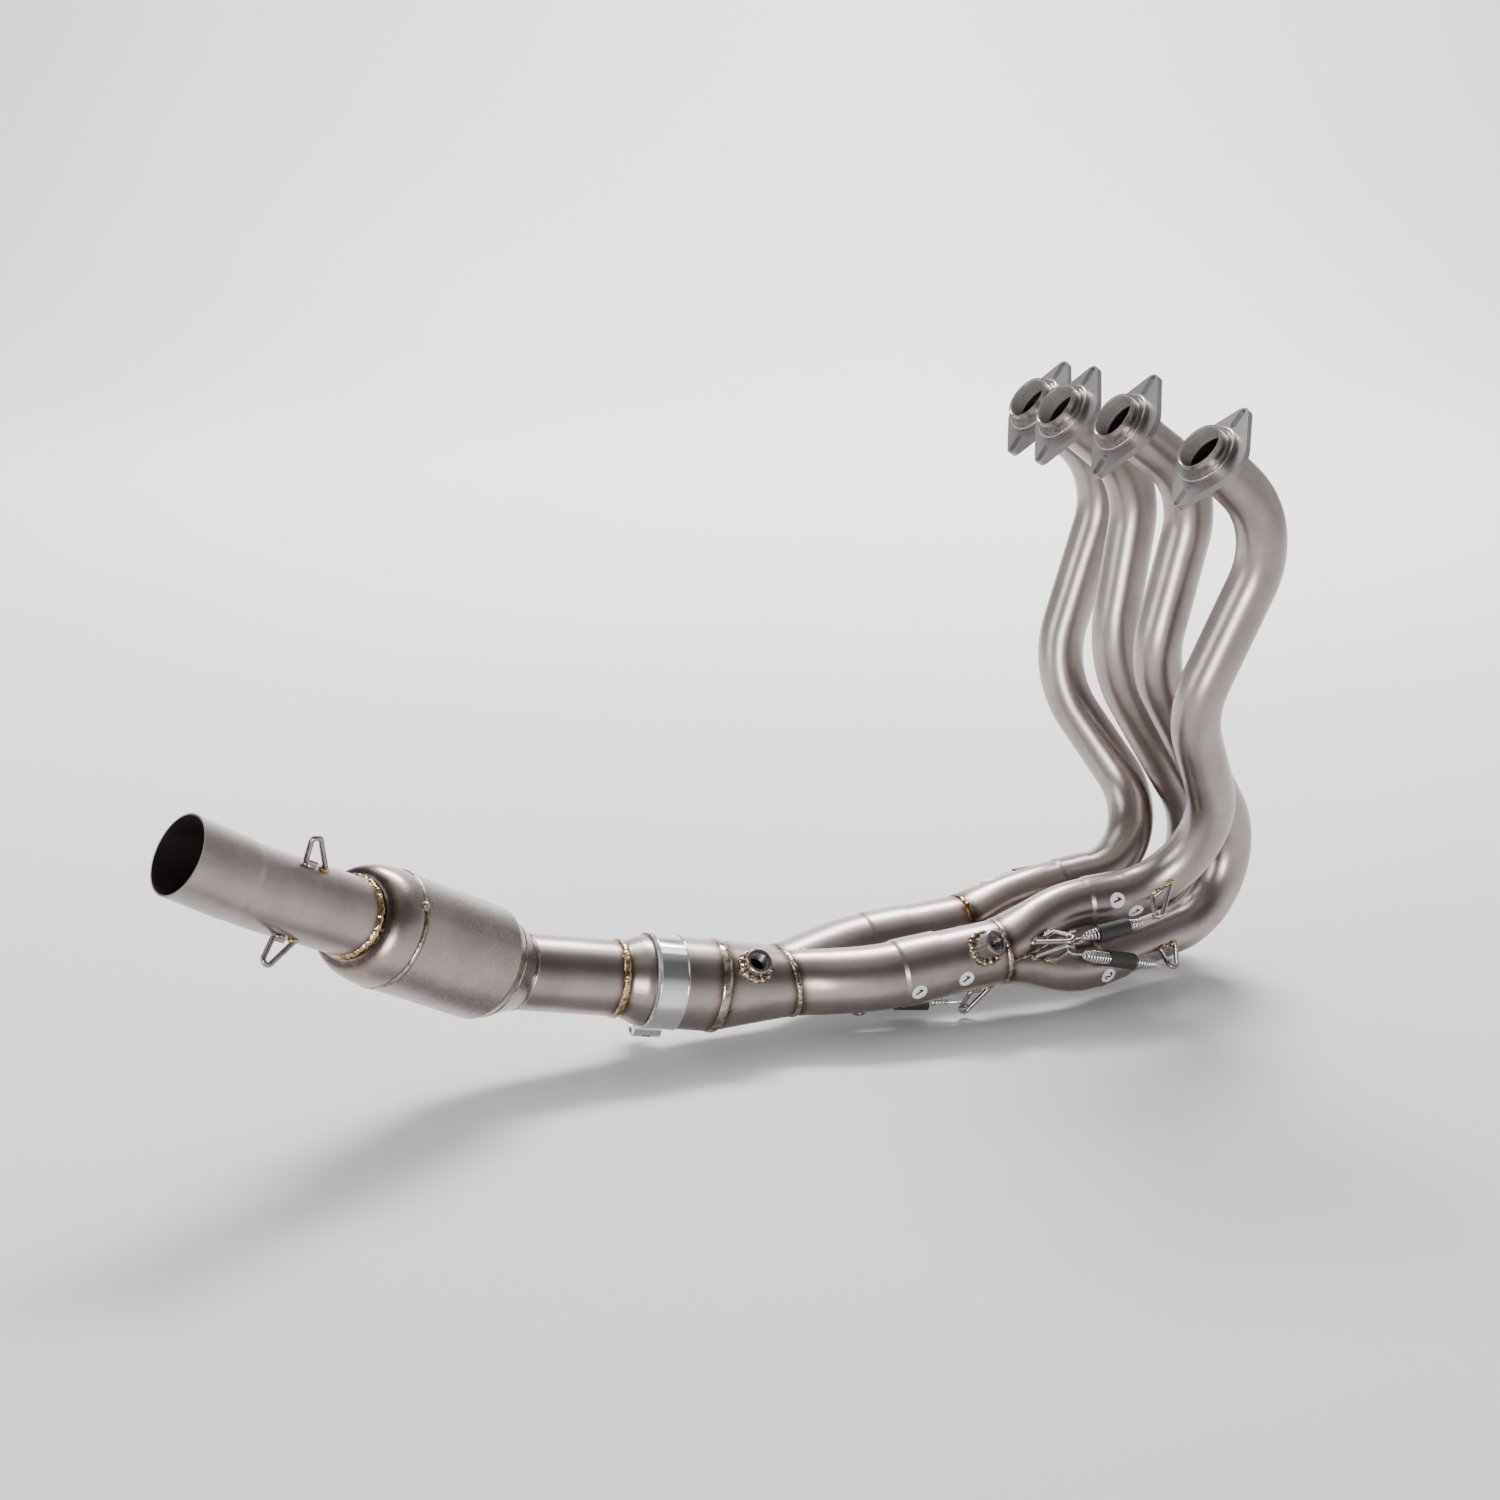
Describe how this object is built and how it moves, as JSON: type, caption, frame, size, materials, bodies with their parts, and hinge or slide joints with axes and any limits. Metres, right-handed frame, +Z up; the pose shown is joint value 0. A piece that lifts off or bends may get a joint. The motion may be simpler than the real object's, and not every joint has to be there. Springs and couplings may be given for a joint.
{
  "type": "motorcycle exhaust header and link pipe",
  "caption": "Multi-cylinder exhaust header: curved tubes with flange plates slip into merges and a collector, clamped to a link pipe with a small expansion can and an open outlet.",
  "frame": {"origin": "centre of the rim of port 1, the port on the low-Y side", "axes": "+X forwards and away from the outlet, +Y across the engine from port 1 to port 4, +Z up"},
  "size_m": [0.9019, 0.328, 0.4975],
  "materials": {
    "black_rubber": "matt black",
    "can_sheet": "satin, fine circumferential brushing",
    "collector_sheet": "satin, with heat tint at the welds",
    "flange_plate": "satin, bead blasted",
    "hook_rod": "drawn rod with heat tint at the welds",
    "polished_band": "polished strip",
    "satin_tube": "satin, glass-bead blasted, with straw and brown heat tint at the welds",
    "spring_wire": "bright drawn wire",
    "turned_steel": "turned, fine rings"
  },
  "bodies": {
    "root": {"branch_hooks": "hook_rod", "branch_springs": "spring_wire", "branch_tube_far": "satin_tube", "branch_tube_near": "satin_tube", "can_dome": "can_sheet", "can_reducer": "can_sheet", "can_shell": "can_sheet", "clamp_band": "polished_band", "clamp_bolt": "polished_band", "clamp_nut": "polished_band", "clamp_trunnion": "polished_band", "collector_body": "collector_sheet", "collector_sleeve": "satin_tube", "header_hooks": "hook_rod", "header_springs": "spring_wire", "header_tube_1": "satin_tube", "header_tube_2": "satin_tube", "header_tube_3": "satin_tube", "header_tube_4": "satin_tube", "link_bell": "satin_tube", "link_tube": "satin_tube", "merge_stub_far_lower": "satin_tube", "merge_stub_far_upper": "satin_tube", "merge_stub_near_lower": "satin_tube", "merge_stub_near_upper": "satin_tube", "outlet_hooks": "hook_rod", "outlet_tube": "satin_tube", "port_collar_1": "turned_steel", "port_collar_2": "turned_steel", "port_collar_3": "turned_steel", "port_collar_4": "turned_steel", "port_flange_1": "flange_plate", "port_flange_2": "flange_plate", "port_flange_3": "flange_plate", "port_flange_4": "flange_plate", "secondary_hooks": "hook_rod", "secondary_tube_far": "satin_tube", "secondary_tube_near": "satin_tube", "sensor_boss_front": "turned_steel", "sensor_boss_rear": "turned_steel", "spring_sleeves": "black_rubber", "stub_hooks": "hook_rod"}
  },
  "joints": []
}
